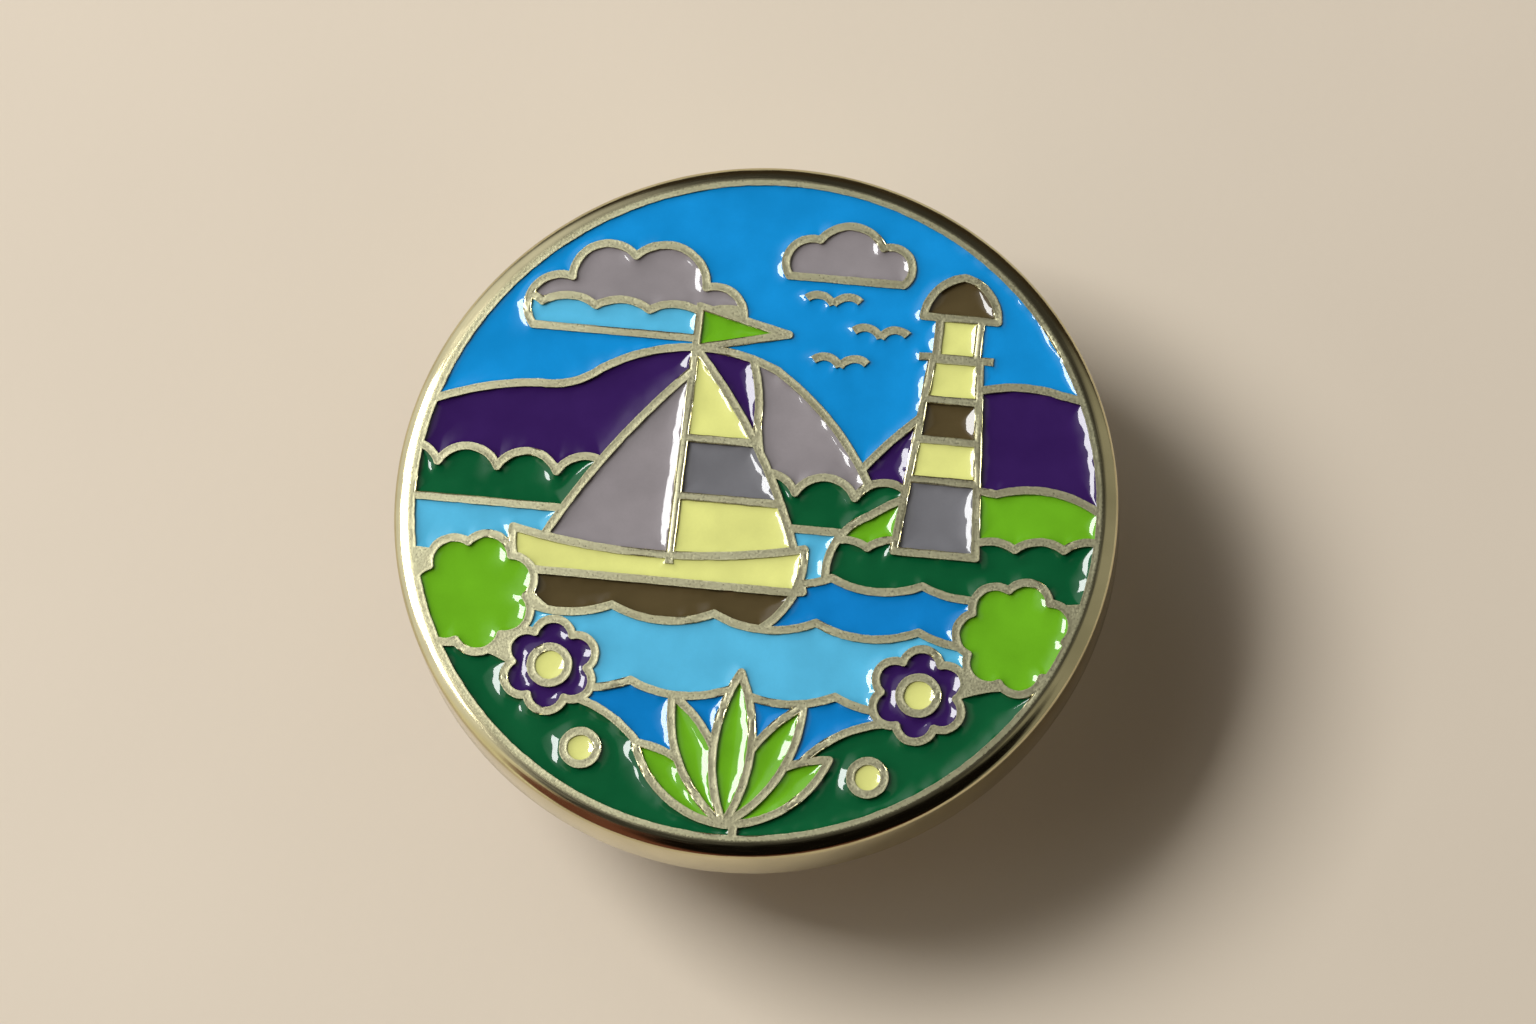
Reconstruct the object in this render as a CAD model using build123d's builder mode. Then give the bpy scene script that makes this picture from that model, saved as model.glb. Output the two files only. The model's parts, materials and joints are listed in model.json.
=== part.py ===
"""Soft enamel pin badge with a nail post and a sprung butterfly clutch.

The badge lies face up: the back of its rim is on Z = 0, the enamelled face looks up +Z and the
picture's top is towards +Y.  The post and the clutch hang below, along -Z.  Millimetres.
"""

import os
from math import cos, radians, sin, tan

from build123d import *

# ---- badge blank ----
badge_radius = 15.875  # a 1.25 inch badge
badge_thickness = 3.0  # back of the rim to the tops of the raised lines
rim_width = 0.95  # metal border outside the enamelled field
lip_width = 0.22  # flat part of the border, beside the field
shoulder_slope = 46.0  # where the rounded shoulder ends
shoulder_edge_radius = 0.15  # from there to the side
back_edge_radius = 0.2
back_ring_width = 2.5  # raised ring that the badge rests on
back_recess = 0.15  # textured field inside that ring

# ---- line work and enamel ----
line_width = 0.36  # raised metal line between two colours
cell_depth = 0.7  # line top to the floor of a cell
enamel_drop = 0.26  # line top to the enamel
smallest_cell = 0.3  # square millimetres; a smaller gap stays metal

# ---- post ----
post_radius = 0.55
post_length = 7.4  # back of the rim to the tip
tip_length = 1.1
tip_radius = 0.08
post_groove_depth = 0.16
post_groove_length = 1.05
pad_radius = 2.1  # flat head of the nail, on the back
pad_height = 0.3
pad_edge_radius = 0.1
solder_width = 0.45
solder_height = 0.18
solder_hollow = 0.03  # its face is dished by about this much

# ---- butterfly clutch ----
clutch_gap = 1.5  # room for cloth between the badge and the clutch
cap_sheet = 0.35
cap_radius = 5.7
cap_height = 1.45
cap_corner = 0.7  # middle radius where the edge turns up
curl_radius = 0.33  # middle radius of the rolled rim
curl_tail = 0.17  # straight end of the roll, over the spring's ears
cap_hole_radius = 0.9
lead_in_radius = 1.75  # mouth of the cone that guides the post
lead_in_depth = 0.3

spring_sheet = 0.3
spring_gap = 0.06  # from the cap to the spring that it holds
spring_width = 4.2
ear_clearance = 0.4  # from the cap's upright edge to the spring's ears
ear_length = 5.0  # along X
bend_radius = 0.55  # middle radius of the spring's return bends
bend_centre = 3.4  # from the post's axis
arm_tilt = 24.0
squeeze_angle = 9.0
bend_free_angle = 2.0  # spare turn between a bend's end and its arm
post_clearance = 0.05  # from the post to the arms' edges
post_free_play = 0.1  # more room for the post at the far end of each arm's opening
neck_width = 2.3  # left wing's arm, where it passes through the right one's window
neck_length = 2.6
window_clearance = 0.3  # beside that neck
arm_end = 2.35  # where an arm turns up into its riser
riser_tilt = 62.0
riser_length = 0.9
wing_tilt = 14.0
wing_reach = 6.3  # wing's edge from the post's axis
wing_width = 5.2
wing_corner = 1.2
crease_radius = 0.45  # middle of the sheet

field_radius = badge_radius - rim_width
field_floor = badge_thickness - cell_depth

# the arms leave their bends at a tangent and cross on the post's axis
ear_radius = cap_radius - cap_sheet - ear_clearance
spring_level = cap_sheet + spring_gap + spring_sheet / 2
bend_level = spring_level + bend_radius
arm_start = -bend_centre - bend_radius * sin(radians(arm_tilt))
arm_start_level = bend_level + bend_radius * cos(radians(arm_tilt))
crossing_level = arm_start_level - arm_start * tan(radians(arm_tilt))
squeeze_shift = (crossing_level - bend_level) * sin(radians(squeeze_angle)) + bend_centre * (
    1 - cos(radians(squeeze_angle))
)


def named_part(part, name):
    part.label = name
    export_step(part, f"parts/{name}.step")


# ---- picture: outlines in shares of the field's radius, X to the right and Y up ----

mast = -0.23
petal_count = 6
bush_lobes = 7


def closed(*corners):
    """Face through corners listed anticlockwise; a third number bows the side that leaves there."""
    with BuildSketch() as face:
        with BuildLine():
            for here, there in zip(corners, corners[1:] + corners[:1]):
                start = (here[0] * field_radius, here[1] * field_radius)
                end = (there[0] * field_radius, there[1] * field_radius)
                if len(here) == 3:
                    SagittaArc(start, end, -here[2] * field_radius)
                else:
                    Line(start, end)
        make_face()
    return face.sketch


def steps(start, end, count, bow):
    """Corners from start towards end, each side bowed alike: waves, tree tops, cloud edges."""
    return [
        (
            start[0] + (end[0] - start[0]) * step / count,
            start[1] + (end[1] - start[1]) * step / count,
            bow,
        )
        for step in range(count)
    ]


def lobed(x, y, radius, lobes, bow):
    """Ring of equal lobes: a flower's petals or a round bush."""
    turn = 360 / lobes
    return closed(
        *[
            (x + radius * cos(radians(turn * k)), y + radius * sin(radians(turn * k)), bow)
            for k in range(lobes)
        ]
    )


def leaf(x, y, angle, length, bow):
    tip = (x + length * cos(radians(angle)), y + length * sin(radians(angle)))
    return closed((x, y, bow), (*tip, bow))


def dots(centres, radius):
    with BuildSketch() as face:
        with Locations(*[(x * field_radius, y * field_radius) for x, y in centres]):
            Circle(radius * field_radius)
    return face.sketch


def stroke(start, end, bow=0.0):
    """Raised line that closes no cell, such as the mast or a gull's wing."""
    first = (start[0] * field_radius, start[1] * field_radius)
    last = (end[0] * field_radius, end[1] * field_radius)
    with BuildSketch() as face:
        with BuildLine():
            if bow:
                SagittaArc(first, last, bow * field_radius)
            else:
                Line(first, last)
        trace(line_width=line_width)
    return face.sketch


def resized(face, amount):
    with BuildSketch() as changed:
        add(face)
        offset(amount=amount, kind=Kind.ARC)
    return changed.sketch


def picture():
    """Motifs from front to back: (name, face, motif that it lies on or None)."""
    flowers = [(-0.54, -0.54), (0.54, -0.53)]
    hull = closed((-0.70, -0.13, 0.05), (-0.52, -0.40), (0.02, -0.40, 0.05), (0.16, -0.12, -0.05))
    mainsail = closed((mast, -0.30), (0.17, -0.25, 0.05), (mast, 0.47))
    tower = closed((0.42, -0.10), (0.66, -0.10), (0.61, 0.50), (0.47, 0.50))
    headland = closed(
        (0.22, -0.60), (1.3, -0.60), (1.3, 0.06), (1.02, 0.06, 0.04), (0.70, 0.10, 0.04), (0.34, 0.0, 0.05),
        (0.24, -0.24),
    )
    hill_back = closed(
        (-1.3, -0.3), (0.44, -0.3, 0.10), (0.02, 0.42, 0.07), (-0.50, 0.38, -0.02), (-0.68, 0.32, 0.07),
        (-1.3, 0.0),
    )
    cloud = closed(
        (-0.72, 0.50), (-0.14, 0.50, 0.08), (-0.22, 0.66, 0.08), (-0.44, 0.74, 0.07), (-0.62, 0.66, 0.07)
    )
    front = [
        (f"enamel_leaf_{number + 1}", leaf(0.02, -0.97, angle, length, 0.055), None)
        for number, (angle, length) in enumerate(
            [(90, 0.46), (63, 0.42), (117, 0.42), (38, 0.36), (142, 0.36)]
        )
    ]
    front += [
        ("enamel_buds", dots([(-0.42, -0.78), (0.42, -0.79)], 0.05), None),
        ("enamel_flower_eyes", dots(flowers, 0.055), None),
        ("enamel_petals_left", lobed(*flowers[0], 0.11, petal_count, 0.045), None),
        ("enamel_petals_right", lobed(*flowers[1], 0.11, petal_count, 0.045), None),
        ("enamel_bush_left", lobed(-0.79, -0.34, 0.155, bush_lobes, 0.045), None),
        ("enamel_bush_right", lobed(0.80, -0.33, 0.145, bush_lobes, 0.042), None),
        (
            "enamel_bank_left",
            closed(
                (-1.3, -1.3), (0.05, -1.3), (0.05, -0.92, 0.03), (-0.22, -0.80, 0.05), (-0.55, -0.62, 0.04),
                (-0.85, -0.50, 0.04), (-1.3, -0.40),
            ),
            None,
        ),
        (
            "enamel_bank_right",
            closed(
                (0.0, -1.3), (1.3, -1.3), (1.3, -0.42, 0.04), (0.85, -0.48, 0.04), (0.52, -0.62, 0.05),
                (0.20, -0.80, 0.03), (0.0, -0.92),
            ),
            None,
        ),
        (
            "enamel_sea_front",
            closed((-1.3, -1.3), (1.3, -1.3), (1.3, -0.55), *steps((1.2, -0.55), (-1.2, -0.57), 8, -0.035),
                   (-1.2, -0.57)),
            None,
        ),
        (
            "enamel_sea_near",
            closed((-1.3, -1.3), (1.3, -1.3), (1.3, -0.34), *steps((1.12, -0.34), (-1.28, -0.34), 8, -0.035),
                   (-1.28, -0.34)),
            None,
        ),
        ("enamel_strake", closed((-1.0, -0.255), (0.5, -0.255), (0.5, 0.1), (-1.0, 0.1)), hull),
        ("enamel_hull", hull, None),
        ("enamel_sail_top", closed((-0.4, 0.19), (0.3, 0.19), (0.3, 0.6), (-0.4, 0.6)), mainsail),
        ("enamel_sail_middle", closed((-0.4, 0.01), (0.3, 0.01), (0.3, 0.6), (-0.4, 0.6)), mainsail),
        ("enamel_sail_foot", mainsail, None),
        ("enamel_jib", closed((-0.64, -0.22), (mast, -0.30), (mast, 0.40, 0.03)), None),
        ("enamel_pennant", closed((mast, 0.60), (mast, 0.47), (0.04, 0.535)), None),
        ("enamel_sea_middle", closed((-1.3, -1.3), (1.3, -1.3), (1.3, -0.20),
                                     *steps((1.05, -0.20), (-1.35, -0.20), 9, -0.03), (-1.35, -0.20)), None),
        ("enamel_roof", closed((0.43, 0.63), (0.65, 0.63, 0.03), (0.54, 0.76, 0.03)), None),
        ("enamel_lantern", closed((0.48, 0.50), (0.60, 0.50), (0.60, 0.64), (0.48, 0.64)), None),
    ]
    front += [
        (f"enamel_tower_band_{number + 1}", closed((0.3, level), (0.8, level), (0.8, 0.7), (0.3, 0.7)), tower)
        for number, level in enumerate([0.375, 0.25, 0.125])
    ]
    front += [
        ("enamel_tower_foot", tower, None),
        (
            "enamel_headland_shade",
            closed((0.1, -0.7), (1.3, -0.7), (1.3, -0.03), *steps((1.2, -0.03), (0.2, -0.11), 7, 0.025),
                   (0.2, -0.11)),
            headland,
        ),
        ("enamel_headland", headland, None),
        ("enamel_sea_far", closed((-1.3, -1.3), (1.3, -1.3), (1.3, -0.06), (-1.3, -0.06)), None),
        (
            "enamel_far_shore",
            closed((-1.3, -0.4), (1.35, -0.4), *steps((1.35, 0.05), (-1.3, 0.05), 15, 0.055),
                   (-1.3, 0.05)),
            None,
        ),
        (
            "enamel_hill_flank",
            closed((-0.10, -0.4), (0.6, -0.4), (0.6, 0.6), (-0.14, 0.6, -0.03), (-0.02, 0.26, 0.04),
                   (0.15, -0.05, -0.03)),
            hill_back,
        ),
        ("enamel_hill_back", hill_back, None),
        (
            "enamel_hill_right",
            closed((0.10, -0.3), (1.3, -0.3), (1.3, 0.2, 0.04), (0.86, 0.42, 0.06), (0.44, 0.30, 0.05)),
            None,
        ),
        (
            "enamel_cloud_shade",
            closed((-0.9, 0.3), (0.0, 0.3), (0.0, 0.575), *steps((-0.06, 0.575), (-0.86, 0.575), 5, 0.025),
                   (-0.86, 0.575)),
            cloud,
        ),
        ("enamel_cloud", cloud, None),
        (
            "enamel_small_cloud",
            closed((0.02, 0.72), (0.36, 0.72, 0.055), (0.29, 0.83, 0.055), (0.10, 0.84, 0.05)),
            None,
        ),
        ("enamel_sky", closed((-1.3, -1.3), (1.3, -1.3), (1.3, 1.3), (-1.3, 1.3)), None),
    ]
    return front


def open_lines():
    gulls = [(0.16, 0.64), (0.31, 0.55), (0.20, 0.45)]
    wing = 0.08
    lines = [stroke((mast, -0.20), (mast, 0.61)), stroke((0.43, 0.505), (0.65, 0.505))]
    for x, y in gulls:
        lines += [stroke((x - wing, y + 0.015), (x, y), 0.02), stroke((x, y), (x + wing, y + 0.015), 0.02)]
    return lines


def cut_cells():
    """Colour cells by name: each motif less half a line, less whatever lies in front of it."""
    with BuildSketch() as raised:
        for line in open_lines():
            add(line)
    covered = raised.sketch
    cells = {}
    for name, face, ground in picture():
        with BuildSketch() as cell:
            add(resized(face, -line_width / 2))
            if ground is not None:
                add(resized(ground, -line_width / 2), mode=Mode.INTERSECT)
            Circle(field_radius, mode=Mode.INTERSECT)
            add(covered, mode=Mode.SUBTRACT)
        cells[name] = Sketch(children=[f for f in cell.sketch.faces() if f.area > smallest_cell])
        with BuildSketch() as cover:
            add(covered)
            with BuildSketch(mode=Mode.PRIVATE) as outline:
                add(resized(face, line_width / 2))
                if ground is not None:
                    add(resized(ground, line_width / 2), mode=Mode.INTERSECT)
            add(outline.sketch)
        covered = cover.sketch
    return cells


# ---- build ----
os.makedirs("parts", exist_ok=True)
cells = cut_cells()

with BuildPart() as badge_base:
    ring_inside = badge_radius - back_edge_radius - back_ring_width
    lip_radius = field_radius + lip_width
    edge_start = badge_radius - shoulder_edge_radius * (1 - sin(radians(shoulder_slope)))
    shoulder_radius = (edge_start - lip_radius) / sin(radians(shoulder_slope))
    edge_start_level = badge_thickness - shoulder_radius * (1 - cos(radians(shoulder_slope)))
    edge_end_level = edge_start_level - shoulder_edge_radius * cos(radians(shoulder_slope))
    with BuildSketch(Plane.XZ):
        with BuildLine():
            Polyline(
                (lip_radius, badge_thickness),
                (0, badge_thickness),
                (0, back_recess),
                (ring_inside, back_recess),
                (ring_inside, 0),
                (badge_radius - back_edge_radius, 0),
            )
            TangentArc(
                (badge_radius - back_edge_radius, 0), (badge_radius, back_edge_radius), tangent=(1, 0)
            )
            Line((badge_radius, back_edge_radius), (badge_radius, edge_end_level))
            TangentArc(
                (edge_start, edge_start_level),
                (badge_radius, edge_end_level),
                tangent=(cos(radians(shoulder_slope)), -sin(radians(shoulder_slope))),
            )
            TangentArc((lip_radius, badge_thickness), (edge_start, edge_start_level), tangent=(1, 0))
        make_face()
    revolve(axis=Axis.Z)
    with BuildSketch(Plane.XY.offset(badge_thickness)):
        for cell in cells.values():
            add(cell)
    extrude(amount=-cell_depth, mode=Mode.SUBTRACT)
named_part(badge_base.part, "badge_base")

for name, cell in cells.items():
    with BuildPart() as enamel:
        with BuildSketch(Plane.XY.offset(field_floor)):
            add(cell)
        extrude(amount=cell_depth - enamel_drop)
    named_part(enamel.part, name)

pad_level = back_recess - pad_height
groove_middle = -clutch_gap - crossing_level
with BuildPart() as post:
    with BuildSketch(Plane.XZ):
        with BuildLine():
            Polyline(
                (pad_radius, back_recess),
                (0, back_recess),
                (0, -post_length),
                (tip_radius, -post_length),
                (post_radius, -post_length + tip_length),
                (post_radius, groove_middle - post_groove_length / 2),
                (post_radius - post_groove_depth, groove_middle - post_groove_length / 2 + post_groove_depth),
                (post_radius - post_groove_depth, groove_middle + post_groove_length / 2 - post_groove_depth),
                (post_radius, groove_middle + post_groove_length / 2),
                (post_radius, pad_level),
                (pad_radius - pad_edge_radius, pad_level),
            )
            TangentArc(
                (pad_radius - pad_edge_radius, pad_level),
                (pad_radius, pad_level + pad_edge_radius),
                tangent=(1, 0),
            )
            Line((pad_radius, pad_level + pad_edge_radius), (pad_radius, back_recess))
        make_face()
    revolve(axis=Axis.Z)
named_part(post.part, "post")

with BuildPart() as solder:
    with BuildSketch(Plane.XZ):
        with BuildLine():
            outside = (pad_radius + solder_width, back_recess)
            corner = (pad_radius, back_recess)
            lowest = (pad_radius, back_recess - solder_height)
            hollow = (
                pad_radius + solder_width / 2 - solder_hollow,
                back_recess - solder_height / 2 + solder_hollow,
            )
            Polyline(outside, corner, lowest)
            ThreePointArc(lowest, hollow, outside)
        make_face()
    revolve(axis=Axis.Z)
named_part(solder.part, "solder_fillet")

# seen from the side, with local Y running away from the badge
clutch_side = Plane(origin=(0, 0, -clutch_gap), x_dir=(1, 0, 0), z_dir=(0, 1, 0))

with BuildPart() as clutch_cap:
    wall_radius = cap_radius - cap_sheet / 2
    curl_level = cap_height - curl_radius - cap_sheet / 2
    with BuildSketch(clutch_side):
        with BuildLine():
            Polyline(
                (cap_hole_radius, lead_in_depth + cap_sheet / 2),
                (lead_in_radius, cap_sheet / 2),
                (wall_radius - cap_corner, cap_sheet / 2),
            )
            CenterArc((wall_radius - cap_corner, cap_sheet / 2 + cap_corner), cap_corner, -90, 90)
            Line((wall_radius, cap_sheet / 2 + cap_corner), (wall_radius, curl_level))
            CenterArc((wall_radius - curl_radius, curl_level), curl_radius, 0, 180)
            Line(
                (wall_radius - 2 * curl_radius, curl_level),
                (wall_radius - 2 * curl_radius, curl_level - curl_tail),
            )
        trace(line_width=cap_sheet)
    revolve(axis=Axis.Z)
named_part(clutch_cap.part, "clutch_cap")

with BuildPart() as clutch_spring:
    bend_turn = 270 - (90 + arm_tilt + squeeze_angle + bend_free_angle)
    with BuildSketch(clutch_side):
        with BuildLine():
            CenterArc((-bend_centre, bend_level), bend_radius, 270 - bend_turn, bend_turn)
            Line((-bend_centre, spring_level), (bend_centre, spring_level))
            CenterArc((bend_centre, bend_level), bend_radius, 270, bend_turn)
        trace(line_width=spring_sheet)
    extrude(amount=ear_radius, both=True)
    with BuildSketch():
        Circle(ear_radius)
        Rectangle(ear_length, 2 * ear_radius, mode=Mode.INTERSECT)
        Rectangle(4 * bend_centre, spring_width)
        Circle(lead_in_radius + cap_sheet, mode=Mode.SUBTRACT)
    extrude(amount=-badge_radius, mode=Mode.INTERSECT)
named_part(clutch_spring.part, "clutch_spring")

edge_reach = post_radius + post_clearance  # from the post's axis to an arm's near edge
opening_length = 2 * edge_reach + squeeze_shift + post_free_play
opening_middle = opening_length / 2 - edge_reach


def wing_outline(opening):
    """An arm and its wing seen from the badge, less what is cut out of it."""
    flare = (wing_width - spring_width) / 2
    edge = wing_reach + spring_sheet
    with BuildSketch() as outline:
        with BuildLine():
            Polyline(
                (arm_start - bend_radius, 0),
                (arm_start - bend_radius, spring_width / 2),
                (arm_end - flare, spring_width / 2),
                (arm_end + flare, wing_width / 2),
                (edge - wing_corner, wing_width / 2),
            )
            TangentArc((edge - wing_corner, wing_width / 2), (edge, wing_width / 2 - wing_corner), tangent=(1, 0))
            Line((edge, wing_width / 2 - wing_corner), (edge, 0))
            mirror(about=Plane.XZ)
        make_face()
        add(opening, mode=Mode.SUBTRACT)
    return outline.sketch


def arm(opening):
    """Right-hand arm with its wing: a bent strip, trimmed to the outline."""
    arm_end_level = arm_start_level + (arm_end - arm_start) * tan(radians(arm_tilt))
    riser_end = arm_end + riser_length * cos(radians(riser_tilt))
    riser_end_level = arm_end_level + riser_length * sin(radians(riser_tilt))
    wing_level = riser_end_level + (wing_reach - riser_end) * tan(radians(wing_tilt))
    with BuildPart() as strip:
        with BuildSketch(clutch_side):
            with BuildLine():
                FilletPolyline(
                    (arm_start, arm_start_level),
                    (arm_end, arm_end_level),
                    (riser_end, riser_end_level),
                    (wing_reach, wing_level),
                    radius=crease_radius,
                )
            trace(line_width=spring_sheet)
        extrude(amount=wing_width, both=True)
        with BuildSketch():
            add(wing_outline(opening))
        extrude(amount=-badge_radius, mode=Mode.INTERSECT)
    return strip.part


with BuildSketch() as window:
    with Locations((opening_middle, 0)):
        Rectangle(opening_length, neck_width + 2 * window_clearance)

with BuildSketch() as neck_and_slot:
    Rectangle(neck_length, 2 * wing_width)
    Rectangle(neck_length, neck_width, mode=Mode.SUBTRACT)
    with Locations((opening_middle, 0)):
        SlotOverall(opening_length, 2 * edge_reach)

with BuildPart() as wing_right:
    add(arm(window.sketch))
named_part(wing_right.part, "wing_right")

with BuildPart() as wing_left:
    add(arm(neck_and_slot.sketch))
    mirror(about=Plane.YZ, mode=Mode.REPLACE)
named_part(wing_left.part, "wing_left")
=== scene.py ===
import json
from math import cos, exp, floor, pi, radians, sin

import bmesh
import bpy
from mathutils import Matrix, Vector, noise
from mathutils.bvhtree import BVHTree


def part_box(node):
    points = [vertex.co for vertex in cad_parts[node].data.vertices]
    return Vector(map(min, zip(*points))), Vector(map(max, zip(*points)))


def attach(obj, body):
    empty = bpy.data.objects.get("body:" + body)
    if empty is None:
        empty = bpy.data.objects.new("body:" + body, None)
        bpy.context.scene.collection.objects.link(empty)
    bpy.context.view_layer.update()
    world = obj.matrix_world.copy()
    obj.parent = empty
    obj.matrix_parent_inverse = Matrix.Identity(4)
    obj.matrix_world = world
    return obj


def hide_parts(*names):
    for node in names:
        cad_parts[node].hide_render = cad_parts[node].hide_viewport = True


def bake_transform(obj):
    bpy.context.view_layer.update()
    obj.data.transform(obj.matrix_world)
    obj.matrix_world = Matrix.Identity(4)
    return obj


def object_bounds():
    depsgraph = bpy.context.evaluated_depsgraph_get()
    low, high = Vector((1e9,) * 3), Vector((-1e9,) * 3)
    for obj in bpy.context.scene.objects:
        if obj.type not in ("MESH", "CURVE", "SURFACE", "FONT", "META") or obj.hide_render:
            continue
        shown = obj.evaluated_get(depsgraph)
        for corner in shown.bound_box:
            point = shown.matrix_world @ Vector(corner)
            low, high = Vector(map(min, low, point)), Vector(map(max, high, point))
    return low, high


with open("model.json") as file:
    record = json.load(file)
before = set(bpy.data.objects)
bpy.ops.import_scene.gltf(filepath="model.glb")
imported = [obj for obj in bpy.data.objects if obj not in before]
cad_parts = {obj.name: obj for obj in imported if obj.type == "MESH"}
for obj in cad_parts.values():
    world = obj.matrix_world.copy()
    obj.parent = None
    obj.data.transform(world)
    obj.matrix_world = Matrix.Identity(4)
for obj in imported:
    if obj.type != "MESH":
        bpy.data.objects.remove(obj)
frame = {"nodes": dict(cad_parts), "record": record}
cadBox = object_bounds()

mm = 0.001
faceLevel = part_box("badge_base")[1].z  # tops of the raised lines
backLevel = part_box("badge_base")[0].z
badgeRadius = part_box("badge_base")[1].y
tolerance = 0.001 * mm
slotOf = {row["node"]: row["material_slot"] for row in frame["record"]["subparts"]}
topVerts = [v for v in frame["nodes"]["badge_base"].data.vertices if v.co.z > faceLevel - tolerance]
lipRadius = max(v.co.xy.length for v in topVerts)
print("frame loaded:", len(frame["nodes"]), "nodes")


def paint(*chart):  # red, green and blue as a colour chart gives them, 0 to 255, for the shader
    return tuple(((c / 255 + 0.055) / 1.055) ** 2.4 if c > 10 else c / 3294.6 for c in chart) + (1,)


def shade(colour, share, lift=0.0):  # the same colour, darker or lighter
    return [min(1, c * share + lift) for c in colour[:3]] + [1]


def addNode(tree, kind, values=None, **settings):
    node = tree.nodes.new(kind)
    for key, value in settings.items():
        setattr(node, key, value)
    for key, value in (values or {}).items():
        if isinstance(value, bpy.types.NodeSocket):
            tree.links.new(value, node.inputs[key])
        else:
            node.inputs[key].default_value = value
    return node


def startMaterial(name):
    material = bpy.data.materials.new(name)
    material.use_nodes = True
    tree = material.node_tree
    shader = tree.nodes["Principled BSDF"]
    place = addNode(tree, "ShaderNodeTexCoord").outputs["Object"]
    return material, tree, shader, place


def mixColour(tree, factor, first, second):
    return addNode(tree, "ShaderNodeMix", {0: factor, 6: first, 7: second}, data_type="RGBA").outputs[2]


def mixValue(tree, factor, first, second):
    return addNode(tree, "ShaderNodeMix", {0: factor, 2: first, 3: second}, data_type="FLOAT").outputs[0]


def combine(tree, first, second, operation):
    return addNode(tree, "ShaderNodeMath", {0: first, 1: second}, operation=operation).outputs[0]


def addBump(tree, shader, height, depth, strength):
    bump = addNode(tree, "ShaderNodeBump", {"Strength": strength, "Distance": depth, "Height": height})
    tree.links.new(bump.outputs["Normal"], shader.inputs["Normal"])


def spread(tree, value, low, high, toLow=0.0, toHigh=1.0, **settings):
    values = {0: value, 1: low, 2: high, 3: toLow, 4: toHigh}
    return addNode(tree, "ShaderNodeMapRange", values, **settings).outputs[0]


def patches(tree, place, size, detail=2.0):
    values = {"Vector": place, "Scale": 1 / size, "Detail": detail}
    return addNode(tree, "ShaderNodeTexNoise", values).outputs["Fac"]


def meshShare(tree, name):  # a share that the mesh carries from point to point
    return addNode(tree, "ShaderNodeAttribute", attribute_name=name).outputs["Fac"]


enamelLook = {
    "roughness": 0.045,
    "mottleSize": 2.6 * mm,  # slow change of the pigment
    "grainSize": 0.12 * mm,
    "grainShare": 0.10,
    "edgeShade": 0.22,  # how much darker the colour is along a wall: painted shade in the recess, partly thicker pigment
    "waveSize": 0.8 * mm,
    "waveDepth": 0.008 * mm,
}


def makeEnamel(name, colour):
    material, tree, shader, place = startMaterial(name)
    mottle = spread(tree, patches(tree, place, enamelLook["mottleSize"], 3), 0.3, 0.7)
    body = mixColour(tree, mottle, shade(colour, 0.88), shade(colour, 1.07, 0.002))
    grain = spread(tree, patches(tree, place, enamelLook["grainSize"], 4), 0.35, 0.75)
    body = mixColour(tree, spread(tree, grain, 0, 1, 0, enamelLook["grainShare"]), body, shade(colour, 0.7))
    # painted shade: the enamel darkens towards the walls of its cell, partly from thicker pigment there
    body = mixColour(tree, meshShare(tree, "wallNear"), body, shade(colour, 1 - enamelLook["edgeShade"]))
    tree.links.new(body, shader.inputs["Base Color"])
    rough = spread(tree, grain, 0, 1, enamelLook["roughness"] * 0.7, enamelLook["roughness"] * 1.6)
    tree.links.new(rough, shader.inputs["Roughness"])
    addBump(tree, shader, patches(tree, place, enamelLook["waveSize"], 2), enamelLook["waveDepth"], 0.5)
    return material


metalLook = {
    "cloudSize": 3.5 * mm,  # slow tarnish
    "cloudShare": 0.5,
    "speckSize": 0.25 * mm,
    "speckShare": 0.35,
    "speckDull": 0.12,  # roughness that a speck adds
}


def makeMetal(name, colour, tarnish, roughness, grainSize, grainDepth, stretch=(1, 1, 1)):
    look = metalLook
    material, tree, shader, place = startMaterial(name)
    stretched = addNode(tree, "ShaderNodeMapping", {"Vector": place, "Scale": stretch}).outputs["Vector"]
    cloud = spread(tree, patches(tree, place, look["cloudSize"], 3), 0.35, 0.7)
    grain = patches(tree, stretched, grainSize, 5)
    speck = spread(tree, patches(tree, place, look["speckSize"], 2), 0.60, 0.72)
    body = mixColour(tree, spread(tree, cloud, 0, 1, 0, look["cloudShare"]), colour, tarnish)
    body = mixColour(tree, spread(tree, speck, 0, 1, 0, look["speckShare"]), body, tarnish)
    body = mixColour(tree, meshShare(tree, "edgeWear"), body, shade(colour, 1.12, 0.02))
    tree.links.new(body, shader.inputs["Base Color"])
    shader.inputs["Metallic"].default_value = 1.0
    rough = spread(tree, grain, 0.3, 0.7, roughness * 0.7, roughness * 1.4)
    rough = combine(tree, rough, spread(tree, speck, 0, 1, 0, look["speckDull"]), "ADD")
    tree.links.new(rough, shader.inputs["Roughness"])
    addBump(tree, shader, grain, grainDepth, 0.5)
    return material


plateLook = {
    "gold": paint(206, 203, 164),
    "rimGold": paint(211, 201, 160),
    "tarnish": paint(162, 154, 118),
    "tarnishSize": 3.0 * mm,
    "tarnishShare": 0.45,
    "pitSize": 0.35 * mm,
    "pitShare": 0.22,
    "rimPits": 0.25,  # of those on the lines
    "worn": paint(234, 227, 200),
    "lineRoughness": (0.27, 0.38),  # struck lines are grainy
    "edgeRoughness": 0.17,
    "rimRoughness": (0.07, 0.17),  # the border is polished
    "grainSize": 0.10 * mm,
    "grainDepth": 0.004 * mm,
    "streakLength": 1.4 * mm,
    "streakWidth": 0.05 * mm,
    "streakDepth": 0.0022 * mm,
}


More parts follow.
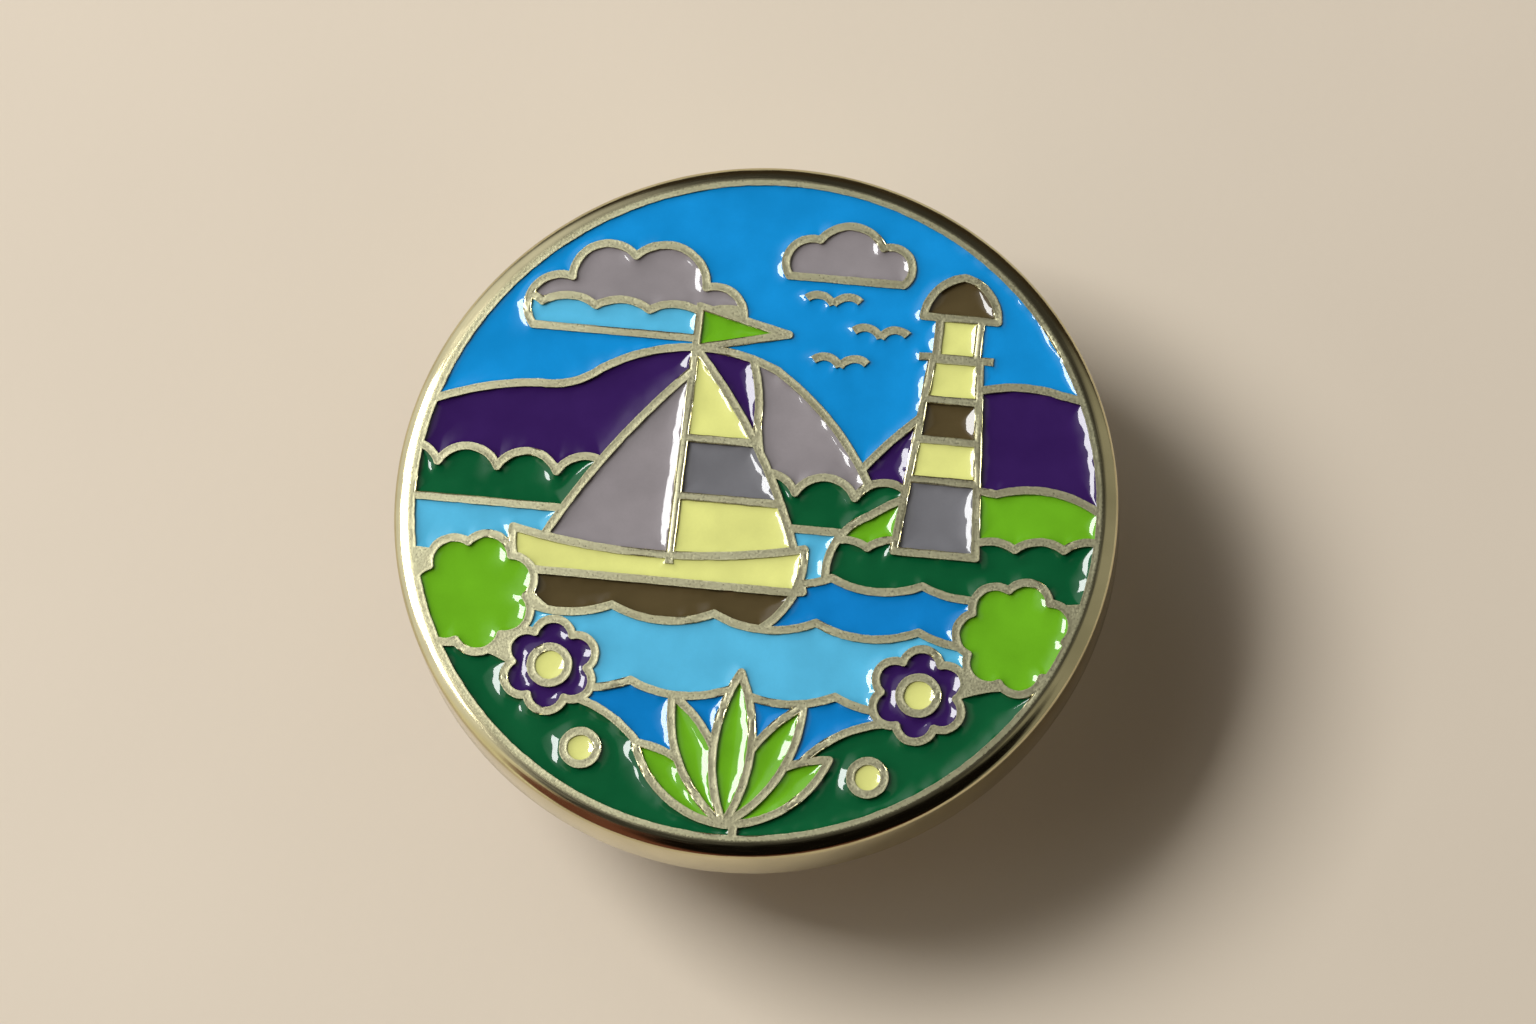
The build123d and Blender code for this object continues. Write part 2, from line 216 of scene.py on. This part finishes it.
def makePlate(name):  # grainy on the struck lines, polished and brushed round the border
    look = plateLook
    material, tree, shader, place = startMaterial(name)
    axes = addNode(tree, "ShaderNodeSeparateXYZ", {0: place}).outputs
    level = addNode(tree, "ShaderNodeVectorMath", {0: place, 1: (1, 1, 0)}, operation="MULTIPLY").outputs[0]
    radius = addNode(tree, "ShaderNodeVectorMath", {0: level}, operation="LENGTH").outputs["Value"]
    turn = combine(tree, axes["Y"], axes["X"], "ARCTAN2")
    around = combine(tree, turn, badgeRadius * look["streakWidth"] / look["streakLength"], "MULTIPLY")
    ring = addNode(tree, "ShaderNodeCombineXYZ", {0: around, 1: radius, 2: axes["Z"]}).outputs[0]
    streak = patches(tree, ring, look["streakWidth"], 4)
    grain = patches(tree, place, look["grainSize"], 5)
    coarse = patches(tree, place, look["pitSize"], 3)
    onRim = spread(tree, radius, lipRadius - 0.02 * mm, lipRadius + 0.16 * mm)
    cloud = spread(tree, patches(tree, place, look["tarnishSize"], 3), 0.35, 0.7)
    body = mixColour(tree, onRim, look["gold"], look["rimGold"])
    body = mixColour(tree, spread(tree, cloud, 0, 1, 0, look["tarnishShare"]), body, look["tarnish"])
    pit = spread(tree, coarse, 0.56, 0.70, 0, look["pitShare"])
    pit = combine(tree, pit, spread(tree, onRim, 0, 1, 1, look["rimPits"]), "MULTIPLY")
    body = mixColour(tree, pit, body, look["tarnish"])
    worn = meshShare(tree, "edgeWear")
    body = mixColour(tree, worn, body, look["worn"])
    tree.links.new(body, shader.inputs["Base Color"])
    shader.inputs["Metallic"].default_value = 1.0
    lineRough = spread(tree, grain, 0.3, 0.7, *look["lineRoughness"])
    lineRough = mixValue(tree, worn, lineRough, look["edgeRoughness"])
    rimRough = spread(tree, streak, 0.3, 0.7, *look["rimRoughness"])
    tree.links.new(mixValue(tree, onRim, lineRough, rimRough), shader.inputs["Roughness"])
    share = spread(tree, worn, 0, 1, look["grainDepth"] / look["streakDepth"], 0)  # worn edges have no grain
    height = mixValue(tree, onRim, combine(tree, grain, share, "MULTIPLY"), streak)
    addBump(tree, shader, height, look["streakDepth"], 1.0)
    return material


metals = {
    "plate": makePlate("paleGoldPlate"),
    # colour, tarnish, roughness, grain's size and depth, stretch along an axis
    "blasted": makeMetal(
        "blastedBack", paint(196, 180, 140), paint(160, 142, 102), 0.42, 0.09 * mm, 0.030 * mm),
    "post": makeMetal(
        "turnedPost", paint(206, 196, 168), paint(166, 154, 124), 0.22, 0.10 * mm, 0.008 * mm, (1, 1, 6)),
    "solder": makeMetal(
        "tinSolder", paint(188, 188, 186), paint(140, 138, 134), 0.30, 0.16 * mm, 0.012 * mm),
    "cap": makeMetal(
        "stampedBrass", paint(228, 204, 138), paint(196, 164, 100), 0.20, 0.16 * mm, 0.007 * mm),
    "spring": makeMetal(
        "springBrass", paint(222, 196, 128), paint(188, 156, 94), 0.24, 0.10 * mm, 0.008 * mm, (5, 1, 1)),
}
print("metals made")


def once(items):  # each item one time and in a fixed order, so that every run cuts the same mesh
    return list(dict.fromkeys(items))


def copyNode(name):  # a CAD node's triangles, joined up
    bm = bmesh.new()
    bm.from_mesh(frame["nodes"][name].data)
    bmesh.ops.remove_doubles(bm, verts=bm.verts, dist=0.00005 * mm)
    return bm


def finishPiece(bm, name, body, materials, sharpAngle=35, replaced=()):
    mesh = bpy.data.meshes.new(name)
    bm.normal_update()
    for face in bm.faces:
        face.smooth = True
    for edge in bm.edges:
        edge.smooth = len(edge.link_faces) == 2 and edge.calc_face_angle(0) < radians(sharpAngle)
    bm.to_mesh(mesh)
    bm.free()
    for material in materials:
        mesh.materials.append(material)
    piece = bpy.data.objects.new(name, mesh)
    bpy.context.scene.collection.objects.link(piece)
    if body:
        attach(piece, body)
    if replaced:
        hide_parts(*replaced)
    return piece


lineWobble = {
    "waves": ((0.6 * mm, 0.016 * mm), (0.24 * mm, 0.013 * mm)),  # size and reach
    "step": 0.20 * mm,
}


def wobble(co):  # struck lines are never quite even
    shift = Vector((0, 0, 0))
    for size, reach in lineWobble["waves"]:
        flat = Vector((co.x, co.y, 0)) / size
        shift += Vector((noise.noise(flat), noise.noise(flat + Vector((31, 17, 5))), 0)) * reach
    return shift


enamelFill = {
    "gridStep": 0.10 * mm,
    "climb": 0.54,  # how much of the bare wall the enamel creeps up
    "climbReach": 0.23 * mm,
    "leastReach": 0.3,  # share of that where a cell is full
    "dome": 0.13,  # and the slow slope further out
    "domeReach": 0.75 * mm,
    "extra": {  # colours that are filled higher
        "sky_blue": 0.12 * mm, "deep_blue": 0.09 * mm, "light_blue": 0.10 * mm, "yellow": 0.13 * mm,
        "lime": 0.05 * mm, "grey": 0.06 * mm, "rock_grey": 0.03 * mm, "purple": 0.03 * mm,
    },
    "unevenness": 0.55,  # of that climb along a wall
    "unevenSize": 0.7 * mm,
    "sag": 0.010 * mm,  # slow waviness of the surface
    "sagSize": 2.2 * mm,
    "shadeReach": 0.12 * mm,  # how far the painted shade along a wall reaches, partly thicker pigment
}

enamelColours = {
    "sky_blue": paint(14, 136, 205),
    "deep_blue": paint(10, 122, 192),
    "light_blue": paint(84, 178, 216),
    "purple": paint(50, 24, 84),
    "grey": paint(138, 132, 134),
    "rock_grey": paint(112, 112, 116),
    "dark_green": paint(8, 84, 46),
    "lime": paint(104, 170, 28),
    "brown": paint(80, 68, 42),
    "yellow": paint(218, 220, 132),
}


def cutGrid(bm, faces, step):  # cuts faces by planes a step apart, each plane only where a face crosses it
    for axis, normal in ((0, Vector((1, 0, 0))), (1, Vector((0, 1, 0)))):
        waiting = {}
        for face in faces:
            nextPlane = floor(min(v.co[axis] for v in face.verts) / step) + 1
            waiting.setdefault(nextPlane, []).append(face)
        faces = []
        index = min(waiting)
        while waiting:
            level = index * step
            crossed = []
            for face in waiting.pop(index, []):
                reach = max(v.co[axis] for v in face.verts)
                (crossed if reach > level + 0.0001 * mm else faces).append(face)
            if crossed:
                edges = once(e for f in crossed for e in f.edges)
                verts = once(v for f in crossed for v in f.verts)
                cut = bmesh.ops.bisect_plane(bm, geom=crossed + edges + verts, dist=0.000001 * mm,
                                             plane_co=normal * level, plane_no=normal)
                for half in [g for g in cut["geom"] if isinstance(g, bmesh.types.BMFace)]:
                    if half.calc_center_median()[axis] < level:
                        faces.append(half)
                    else:
                        waiting.setdefault(index + 1, []).append(half)
            index += 1
    return faces


def findWalls(bm):  # a fill's upright sides, to measure distances from
    walls = bm.copy()
    flats = [f for f in walls.faces if abs(f.normal.z) > 0.5]
    bmesh.ops.delete(walls, geom=flats, context="FACES")
    wallTree = BVHTree.FromBMesh(walls)
    walls.free()
    return wallTree


def gridTop(bm):  # an even grid on a fill's top, in place of the triangles it came with
    seam = bm.edges.layers.int.new("seam")
    tops = [f for f in bm.faces if f.normal.z > 0.5]
    for edge in bm.edges:
        if len(edge.link_faces) == 2 and all(f.normal.z > 0.5 for f in edge.link_faces):
            edge[seam] = 1
    cutGrid(bm, tops, enamelFill["gridStep"])
    old = [e for e in bm.edges if e[seam]]
    bmesh.ops.dissolve_edges(bm, edges=old, use_verts=True, use_face_split=False)


def pourEnamel(node):
    s = enamelFill
    slot = slotOf[node]
    bm = copyNode(node)
    level = max(v.co.z for v in bm.verts)
    extra = s["extra"].get(slot.replace("enamel_", ""), 0)
    bare = faceLevel - level - extra
    reach = s["climbReach"] * (s["leastReach"] + (1 - s["leastReach"]) * bare / (faceLevel - level))
    wallTree = findWalls(bm)
    gridTop(bm)
    wallNear = bm.verts.layers.float.new("wallNear")
    for vert in bm.verts:
        if vert.co.z < level - tolerance:
            continue
        distance = wallTree.find_nearest(vert.co)[3]
        uneven = 1 + s["unevenness"] * noise.noise(vert.co / s["unevenSize"])
        climb = s["climb"] * uneven * exp(-distance / reach)
        dome = s["dome"] * (exp(-((distance / s["domeReach"]) ** 2)) - 0.5)
        slow = noise.noise(vert.co / s["sagSize"]) * s["sag"]
        # painted shade: how strongly the nearest wall darkens the enamel here, partly thicker pigment
        vert[wallNear] = exp(-distance / s["shadeReach"])
        vert.co.z += extra + slow + (climb + dome) * bare
    for vert in bm.verts:
        vert.co += wobble(vert.co)
    return finishPiece(bm, node.replace("enamel_", "fill_"), "badge", [enamelPaints[slot]], 50, [node])


enamelPaints = {}
for name, colour in enamelColours.items():
    enamelPaints[f"enamel_{name}"] = makeEnamel(f"enamel_{name}", colour)
for node in sorted(frame["nodes"]):
    if node.startswith("enamel_"):
        pourEnamel(node)
print("enamel poured")


badgeShape = {
    "edge": (  # the lines' worn edges: distance from the wall and drop
        (0, 0.048 * mm), (0.010 * mm, 0.036 * mm), (0.030 * mm, 0.022 * mm), (0.056 * mm, 0.010 * mm),
        (0.082 * mm, 0.002 * mm),
    ),
    "shoulderSlope": radians(36),  # where the rounded shoulder ends
    "shoulderSteps": 11,
    "shoulderEdge": 0.25 * mm,  # radius from there to the side
    "roundSteps": 5,
    "backRound": 0.2 * mm,
    "ringWidth": 2.5 * mm,
    "ringBreak": 0.04 * mm,  # its broken inner edge
    "recess": 0.15 * mm,
    "recessTaper": 0.02 * mm,
    "recessSteps": 6,
}


def findTops(bm):
    return [f for f in bm.faces if f.calc_center_median().z > faceLevel - tolerance]


def keepField(bm):  # leaves the picture's lines and cells, with whole tops
    low = 1 * mm  # below every cell's floor
    outer = [f for f in bm.faces if f.calc_center_median().z < low
             or f.calc_center_median().xy.length > lipRadius - tolerance]
    bmesh.ops.delete(bm, geom=outer, context="FACES")
    inside = once(e for f in findTops(bm) for e in f.edges if len(e.link_faces) == 2)
    flat = [e for e in inside if all(g.normal.z > 0.5 for g in e.link_faces)]
    bmesh.ops.dissolve_limit(bm, angle_limit=radians(0.2), use_dissolve_boundaries=False, verts=[],
                             edges=flat)


def wearLines(bm):  # rings beside every edge of the lines, lowered to a worn edge
    tops = findTops(bm)
    wear = bm.verts.layers.float.new("edgeWear")
    deepest = badgeShape["edge"][0][1]
    verts = {v for f in tops for e in f.edges for g in e.link_faces if g.normal.z < 0.5 for v in e.verts}
    lowered = [(verts, deepest)]
    reached = 0
    for distance, drop in badgeShape["edge"][1:]:
        ring = bmesh.ops.inset_region(bm, faces=tops, thickness=distance - reached, use_even_offset=True,
                                      use_boundary=False)
        sides = {v for f in ring["faces"] for v in f.verts}
        lowered.append(({v for f in tops for v in f.verts} & sides, drop))
        reached = distance
    fullWear = 0.6 * deepest
    for verts, drop in lowered:
        for vert in verts:
            vert.co.z = faceLevel - drop
            vert[wear] = drop / fullWear if drop < fullWear else 1.0
    struck = [f for f in bm.faces if f.normal.z < 0.5 or f.calc_center_median().z > faceLevel - deepest * 1.1]
    cutGrid(bm, struck, lineWobble["step"])
    for vert in bm.verts:
        if vert.co.xy.length < lipRadius - 10 * tolerance:
            vert.co += wobble(vert.co)


def traceSide():  # radius and height from the lip over the shoulder and the side to the middle of the back
    s = badgeShape
    slope, edge, rest = s["shoulderSlope"], s["shoulderEdge"], s["backRound"]
    wide = (badgeRadius - edge * (1 - sin(slope)) - lipRadius) / sin(slope)
    centre = faceLevel - wide * (1 - cos(slope)) - edge * cos(slope)
    path = []
    for k in range(1, s["shoulderSteps"] + 1):
        turn = slope * k / s["shoulderSteps"]
        path.append((lipRadius + wide * sin(turn), faceLevel - wide * (1 - cos(turn))))
    for k in range(1, s["roundSteps"] + 1):
        turn = slope + (pi / 2 - slope) * k / s["roundSteps"]
        path.append((badgeRadius - edge * (1 - sin(turn)), centre + edge * cos(turn)))
    for k in range(s["roundSteps"] + 1):
        turn = pi / 2 * k / s["roundSteps"]
        path.append((badgeRadius - rest * (1 - cos(turn)), backLevel + rest * (1 - sin(turn))))
    inner = badgeRadius - rest - s["ringWidth"]
    path += [(inner + s["ringBreak"], backLevel), (inner, backLevel + s["ringBreak"]),
             (inner - s["recessTaper"], backLevel + s["recess"])]
    for k in range(s["recessSteps"] - 1, 0, -1):
        path.append((inner * k / s["recessSteps"], backLevel + s["recess"]))
    return path, inner


def growSide(bm):  # lip, shoulder, side and back grow from the lip's circle
    loop = [e for e in bm.edges if len(e.link_faces) == 1]
    for vert in {v for e in loop for v in e.verts}:
        vert.co.xy = vert.co.xy.normalized() * lipRadius
    path, inner = traceSide()
    current, level = lipRadius, faceLevel
    for radius, height in path:
        grown = bmesh.ops.extrude_edge_only(bm, edges=loop)["geom"]
        verts = [g for g in grown if isinstance(g, bmesh.types.BMVert)]
        known = set(verts)
        loop = [g for g in grown if isinstance(g, bmesh.types.BMEdge) and set(g.verts) <= known]
        bmesh.ops.scale(bm, vec=(radius / current, radius / current, 1), verts=verts)
        bmesh.ops.translate(bm, vec=(0, 0, height - level), verts=verts)
        for face in {f for v in verts for f in v.link_faces}:
            face.material_index = 1 if radius < inner - 10 * tolerance else 0
        current, level = radius, height
    bmesh.ops.edgeloop_fill(bm, edges=loop, mat_nr=1)


def strikeBadge():
    bm = copyNode("badge_base")
    keepField(bm)
    wearLines(bm)
    growSide(bm)
    bmesh.ops.recalc_face_normals(bm, faces=bm.faces)
    finishes = [metals["plate"], metals["blasted"]]
    return finishPiece(bm, "struckBadge", "badge", finishes, 40, ["badge_base"])


strikeBadge()
print("badge struck")


postShape = {
    "radius": 0.55 * mm,
    "tipRadius": 0.08 * mm,
    "tipLength": 1.1 * mm,
    "grooveDepth": 0.16 * mm,
    "grooveLength": 1.05 * mm,
    "grooveLevel": -4.726 * mm,
    "grooveBreak": (0.01 * mm, 0.02 * mm),  # its broken edges: depth and height
    "padHeight": 0.3 * mm,
    "padRound": 0.1 * mm,
    "neck": 0.08 * mm,  # chamfer where the shaft meets the pad
    "tipHeight": 0.04 * mm,
    "segments": 96,
}

solderShape = {
    "hollow": 0.05 * mm,
    "steps": 8,
    "runOut": 0.012,  # solder never runs out evenly
    "runSize": 0.8 * mm,
    "segments": 120,
}


def lineTo(bm, pen, x, z):
    pen = bmesh.ops.extrude_vert_indiv(bm, verts=[pen])["verts"][0]
    pen.co = (x, 0, z)
    return pen


def arcTo(bm, pen, x, z, turn, steps):
    swept = bmesh.ops.spin(bm, geom=[pen], cent=(x, 0, z), axis=(0, 1, 0), dvec=(0, 0, 0),
                           angle=radians(turn), steps=steps, use_merge=False, use_duplicate=False)
    return [g for g in swept["geom_last"] if isinstance(g, bmesh.types.BMVert)][0]


def turnProfile(bm, segments):
    bmesh.ops.spin(bm, geom=bm.verts[:] + bm.edges[:], cent=(0, 0, 0), axis=(0, 0, 1), dvec=(0, 0, 0),
                   angle=2 * pi, steps=segments, use_merge=True, use_duplicate=False)
    bmesh.ops.remove_doubles(bm, verts=bm.verts, dist=0.0002 * mm)
    bmesh.ops.recalc_face_normals(bm, faces=bm.faces)


def turnPost():
    s = postShape
    low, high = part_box("post")
    padRadius = high.x
    bm = bmesh.new()
    pen = bm.verts.new((0, 0, high.z))
    pen = lineTo(bm, pen, padRadius, high.z)
    pen = lineTo(bm, pen, padRadius, high.z - s["padHeight"] + s["padRound"])
    pen = arcTo(bm, pen, padRadius - s["padRound"], high.z - s["padHeight"] + s["padRound"], 90, 5)
    pen = lineTo(bm, pen, s["radius"] + s["neck"], high.z - s["padHeight"])
    pen = lineTo(bm, pen, s["radius"], high.z - s["padHeight"] - s["neck"])
    top = s["grooveLevel"] + s["grooveLength"] / 2
    bottom = s["grooveLevel"] - s["grooveLength"] / 2
    depth = s["grooveDepth"]
    breakDepth, breakHeight = s["grooveBreak"]
    for x, z in ((0, top + breakHeight), (breakDepth, top), (depth, top - depth), (depth, bottom + depth),
                 (breakDepth, bottom), (0, bottom - breakHeight), (0, low.z + s["tipLength"])):
        pen = lineTo(bm, pen, s["radius"] - x, z)
    pen = lineTo(bm, pen, s["tipRadius"], low.z + s["tipHeight"])
    pen = lineTo(bm, pen, s["tipRadius"] * 0.6, low.z)
    pen = lineTo(bm, pen, 0, low.z)
    turnProfile(bm, s["segments"])
    return finishPiece(bm, "nailPost", "badge", [metals["post"]], 28, ["post"])


def flowSolder():
    s = solderShape
    low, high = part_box("solder_fillet")
    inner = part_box("post")[1].x
    bm = bmesh.new()
    pen = bm.verts.new((inner, 0, high.z))
    pen = lineTo(bm, pen, high.x, high.z)
    width, height = high.x - inner, high.z - low.z
    for k in range(1, s["steps"]):
        share = k / s["steps"]
        hollow = sin(pi * share) * s["hollow"]
        pen = lineTo(bm, pen, high.x - width * share - hollow * 0.6, high.z - height * share + hollow * 0.6)
    pen = lineTo(bm, pen, inner, low.z)
    bm.edges.new((pen, bm.verts[:][0]))
    turnProfile(bm, s["segments"])
    for vert in bm.verts:
        if inner + 20 * tolerance < vert.co.xy.length < high.x - tolerance:
            vert.co.xy *= 1 - s["runOut"] * (0.5 + 0.5 * noise.noise(vert.co / s["runSize"]))
    return finishPiece(bm, "solderBead", "badge", [metals["solder"]], 60, ["solder_fillet"])


turnPost()
flowSolder()
print("post soldered")


clutchShape = {
    "cutEdge": 0.035 * mm,  # radius left by the blanking tool
    "cutWear": 0.8,
    "bendRadius": 0.55 * mm,
    "bendCentre": 3.4 * mm,
    "bendLevel": -2.61 * mm,
    "sheet": 0.3 * mm,
    "armAngle": 114,  # round the bend, where the arm starts
    "bendEndAngle": 125,
    "overlap": 3,  # degrees that the flexing stretch reaches into each neighbour
    "inset": (0.004 * mm, 0.01 * mm),  # it lies this far inside their faces and sides
    "width": 4.2 * mm,
}


def softenSheet(node, name, body, material):
    bm = copyNode(node)
    bmesh.ops.dissolve_limit(bm, angle_limit=radians(1), use_dissolve_boundaries=False, verts=bm.verts,
                             edges=bm.edges)
    wear = bm.verts.layers.float.new("edgeWear")
    sharp = [e for e in bm.edges if len(e.link_faces) == 2 and e.calc_face_angle(0) > radians(50)]
    bevelled = bmesh.ops.bevel(bm, geom=sharp, offset=clutchShape["cutEdge"], offset_type="OFFSET",
                               segments=2, profile=0.5, affect="EDGES", clamp_overlap=True, material=-1)
    for vert in bevelled["verts"]:
        vert[wear] = clutchShape["cutWear"]
    return finishPiece(bm, name, body, [material], 40, [node])


def makeFlexure(name, side):  # the stretch of brass that bends as its wing is squeezed, built here as one fixed arc that no body carries
    s = clutchShape
    bm = bmesh.new()
    start = s["armAngle"] - s["overlap"]
    turn = s["bendEndAngle"] + s["overlap"] - start

    def point(angle, radius=s["bendRadius"]):
        return Vector((side * (-s["bendCentre"] + radius * cos(radians(angle))), 0,
                       s["bendLevel"] - radius * sin(radians(angle))))

    half = s["sheet"] / 2 - s["inset"][0]
    inner, outer = point(start, s["bendRadius"] - half), point(start, s["bendRadius"] + half)
    wide = s["width"] / 2 - s["inset"][1]
    outline = ((inner, -wide), (outer, -wide), (outer, wide), (inner, wide))
    corners = [bm.verts.new((place.x, y, place.z)) for place, y in outline]
    section = bm.faces.new(corners)
    axle = (-side * s["bendCentre"], 0, s["bendLevel"])
    bmesh.ops.spin(bm, geom=[section] + section.edges[:] + corners, cent=axle, axis=(0, 1, 0), dvec=(0, 0, 0),
                   angle=radians(turn) * side, steps=12, use_merge=False, use_duplicate=False)
    bmesh.ops.remove_doubles(bm, verts=bm.verts, dist=0.0002 * mm)
    bmesh.ops.recalc_face_normals(bm, faces=bm.faces)
    piece = finishPiece(bm, name, None, [metals["spring"]], 40)
    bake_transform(piece)
    return piece


softenSheet("clutch_cap", "clutchCap", "clutch", metals["cap"])
softenSheet("clutch_spring", "clutchSpring", "clutch", metals["spring"])
softenSheet("wing_right", "wingRight", "wing_right", metals["spring"])
softenSheet("wing_left", "wingLeft", "wing_left", metals["spring"])
makeFlexure("flexureRight", 1)
makeFlexure("flexureLeft", -1)
print("clutch made")


studio = {
    "floor": paint(206, 194, 176),
    "backdrop": paint(232, 226, 216),  # pale band round the room, as high as the low views see
    "backdropTop": 6,  # degrees above the floor
    "room": (0.040, 0.028, 0.016, 1),  # dark room above that band
    "overhead": (0.050, 0.048, 0.046, 1),
    "overheadFrom": (18, 50),  # degrees over which the room turns into it
    "glows": (  # azimuth, elevation, where it fades out and is full, colour
        (2, 36, 46, 34, (0.36, 0.35, 0.30, 1)),
        (-150, 30, 34, 24, (0.95, 0.89, 0.70, 1)),
        (-107, 38, 34, 27, (0.17, 0.062, 0.042, 1)),
        (-64, 50, 37, 30, (0.004, 0.003, 0.002, 1)),
        (-72, 2, 30, 22, (0.15, 0.060, 0.040, 1)),
        (160, 36, 42, 26, (0.95, 0.95, 0.97, 1)),
    ),
    "windowAzimuth": 162,
    "windowElevation": 50,
    "windowPower": 2.80,
    "windowDistance": 0.50,
    "windowSize": 0.225,
}

view = {
    "azimuth": -72.0,
    "elevation": 71.7,
    "roll": -12.0,
    "lens": 161,
    "distance": 0.30,
    "aimRight": 0.59 * mm,
    "aimUp": -0.29 * mm,
}


def direction(azimuth, elevation):
    turn, lift = radians(azimuth), radians(elevation)
    return Vector((cos(turn) * cos(lift), sin(turn) * cos(lift), sin(lift)))


def layFloor():
    bm = bmesh.new()
    bmesh.ops.create_grid(bm, x_segments=8, y_segments=8, size=1.5)
    bmesh.ops.translate(bm, vec=(0, 0, cadBox[0][2]), verts=bm.verts)
    mesh = bpy.data.meshes.new("floor")
    bm.to_mesh(mesh)
    bm.free()
    floor = bpy.data.objects.new("floor", mesh)
    bpy.context.scene.collection.objects.link(floor)
    material, tree, shader, place = startMaterial("paleFloor")
    cloud = patches(tree, place, 30 * mm, 3)
    body = mixColour(tree, spread(tree, cloud, 0.3, 0.7), studio["floor"], shade(studio["floor"], 0.96))
    tree.links.new(body, shader.inputs["Base Color"])
    shader.inputs["Roughness"].default_value = 0.8
    shader.inputs["Specular IOR Level"].default_value = 0.2
    addBump(tree, shader, patches(tree, place, 0.5 * mm, 4), 0.05 * mm, 0.15)
    mesh.materials.append(material)


def lightStudio():
    world = bpy.data.worlds.new("studio")
    bpy.context.scene.world = world
    world.use_nodes = True
    tree = world.node_tree
    background = tree.nodes["Background"]
    way = addNode(tree, "ShaderNodeTexCoord").outputs["Generated"]
    height = addNode(tree, "ShaderNodeSeparateXYZ", {0: way}).outputs["Z"]
    smooth = {"interpolation_type": "SMOOTHSTEP"}
    low, high = studio["overheadFrom"]
    lift = spread(tree, height, sin(radians(low)), sin(radians(high)), **smooth)
    room = mixColour(tree, lift, studio["room"], studio["overhead"])
    for azimuth, elevation, edge, core, colour in studio["glows"]:
        near = addNode(tree, "ShaderNodeVectorMath", {0: way, 1: direction(azimuth, elevation)},
                       operation="DOT_PRODUCT").outputs["Value"]
        glow = spread(tree, near, cos(radians(edge)), cos(radians(core)), **smooth)
        room = mixColour(tree, glow, room, colour)
    top = sin(radians(studio["backdropTop"]))
    band = spread(tree, height, top, top * 0.85)
    tree.links.new(mixColour(tree, band, room, studio["backdrop"]), background.inputs["Color"])
    lamp = bpy.data.lights.new("softbox", "AREA")
    lamp.size = studio["windowSize"]
    lamp.energy = studio["windowPower"]
    box = bpy.data.objects.new("softbox", lamp)
    bpy.context.scene.collection.objects.link(box)
    away = direction(studio["windowAzimuth"], studio["windowElevation"])
    box.location = away * studio["windowDistance"]
    box.rotation_euler = away.to_track_quat("Z", "Y").to_euler()


def placeCamera():
    lens = bpy.data.cameras.new("camera")
    lens.lens = view["lens"]
    lens.clip_start = 0.01
    camera = bpy.data.objects.new("camera", lens)
    bpy.context.scene.collection.objects.link(camera)
    back = direction(view["azimuth"], view["elevation"])
    turn = back.to_track_quat("Z", "Y").to_matrix().to_4x4() @ Matrix.Rotation(radians(view["roll"]), 4, "Z")
    right, up = turn.col[0].xyz, turn.col[1].xyz
    centre = Vector((0, 0, faceLevel)) + right * view["aimRight"] + up * view["aimUp"]
    camera.matrix_world = Matrix.Translation(centre + back * view["distance"]) @ turn
    bpy.context.scene.camera = camera


layFloor()
lightStudio()
placeCamera()
bpy.context.scene.view_settings.view_transform = "Standard"
print("stage set")
